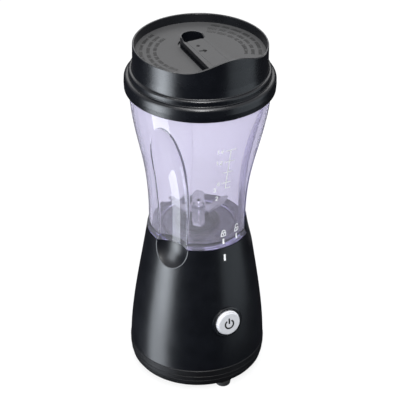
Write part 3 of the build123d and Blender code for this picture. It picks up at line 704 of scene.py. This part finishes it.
def area_light(name, azimuth, elevation, distance, width, height, power, colour=(1, 1, 1),
               through_glass=True):
    """A soft rectangular light that faces the object."""
    light = bpy.data.lights.new(name, "AREA")
    light.shape = "RECTANGLE"
    light.size = width
    light.size_y = height
    light.energy = power
    light.color = colour
    made = bpy.data.objects.new(name, light)
    bpy.context.scene.collection.objects.link(made)
    back = direction(azimuth, elevation)
    side = Vector((0, 0, 1)).cross(back).normalized()
    up = back.cross(side)
    facing = Matrix((side, up, back)).transposed().to_4x4()
    made.matrix_world = Matrix.Translation(LIGHT_AIM + back * distance) @ facing
    made.visible_transmission = through_glass


FLOOR_HALF = 1.5
FLOOR_LEVEL = -0.1 * MM         # just under the feet, so that no two faces coincide
FLOOR_GLOW = 0.84
THROUGH_GLASS = 0.6             # how much of the pale surround is seen through the clear jar


def make_floor():
    """Pale paper that glows like a lit backdrop; it throws nothing back at the object."""
    material, tree, shader = new_material("floor_paper")
    grain = noise(tree, 300.0, 3.0)
    tree.links.new(blended(tree, grain, (0.125, 0.125, 0.125), (0.135, 0.135, 0.135)),
                   shader.inputs["Base Color"])
    shader.inputs["Roughness"].default_value = 0.9
    shader.inputs["Specular IOR Level"].default_value = 0.1
    shader.inputs["Emission Color"].default_value = (1, 1, 1, 1)
    shader.inputs["Emission Strength"].default_value = FLOOR_GLOW
    corners = [(FLOOR_HALF * x, FLOOR_HALF * y, FLOOR_LEVEL)
               for x, y in ((-1, -1), (1, -1), (1, 1), (-1, 1))]
    floor = make_object("floor", corners, [(0, 1, 2, 3)], material, smooth=False)
    floor.visible_glossy = False
    floor.visible_shadow = False
    floor.visible_diffuse = False


def make_world():
    """Pale to the eye and through the jar; it casts bright light from overhead alone."""
    world = bpy.data.worlds.new("studio")
    world.use_nodes = True
    tree = world.node_tree
    place = tree.nodes.new("ShaderNodeTexCoord")
    split = tree.nodes.new("ShaderNodeSeparateXYZ")
    ramp = tree.nodes.new("ShaderNodeValToRGB")
    ramp.color_ramp.elements[0].position = 0.05
    ramp.color_ramp.elements[0].color = (0.022, 0.022, 0.026, 1)
    ramp.color_ramp.elements[1].position = 0.6
    ramp.color_ramp.elements[1].color = (0.8, 0.8, 0.82, 1)
    pale = tree.nodes.new("ShaderNodeBackground")
    pale.inputs["Color"].default_value = (0.95, 0.95, 0.95, 1)
    cast = tree.nodes["Background"]
    seen = tree.nodes.new("ShaderNodeLightPath")
    through = tree.nodes.new("ShaderNodeMath")
    through.operation = "MULTIPLY_ADD"
    through.inputs[1].default_value = THROUGH_GLASS
    mix = tree.nodes.new("ShaderNodeMixShader")
    output = tree.nodes["World Output"]
    tree.links.new(place.outputs["Generated"], split.inputs["Vector"])
    tree.links.new(split.outputs["Z"], ramp.inputs["Fac"])
    tree.links.new(ramp.outputs["Color"], cast.inputs["Color"])
    tree.links.new(seen.outputs["Is Transmission Ray"], through.inputs[0])
    tree.links.new(seen.outputs["Is Camera Ray"], through.inputs[2])
    tree.links.new(through.outputs["Value"], mix.inputs["Fac"])
    tree.links.new(cast.outputs["Background"], mix.inputs[1])
    tree.links.new(pale.outputs["Background"], mix.inputs[2])
    tree.links.new(mix.outputs["Shader"], output.inputs["Surface"])
    bpy.context.scene.world = world


COOL = (0.87, 0.93, 1.0)
COOLER = (0.82, 0.92, 1.0)

make_camera()
make_floor()
make_world()
area_light("key_overhead", CAMERA_AZIMUTH + 5, 78, 1.3, 0.75, 0.9, 9)
area_light("front_panel", CAMERA_AZIMUTH + 3, 48, 1.5, 0.38, 0.5, 16)
area_light("back_panel", CAMERA_AZIMUTH + 180, 38, 1.6, 1.6, 0.8, 6, through_glass=False)
area_light("left_high", CAMERA_AZIMUTH - 58, 4, 1.0, 0.5, 1.1, 11, COOL, False)
area_light("left_low", CAMERA_AZIMUTH - 69, -24, 1.0, 0.5, 0.9, 7, COOL, False)
area_light("right_panel", CAMERA_AZIMUTH + 74, 3, 1.1, 1.15, 1.2, 4.8, COOLER, False)
bpy.context.scene.view_settings.view_transform = "Standard"
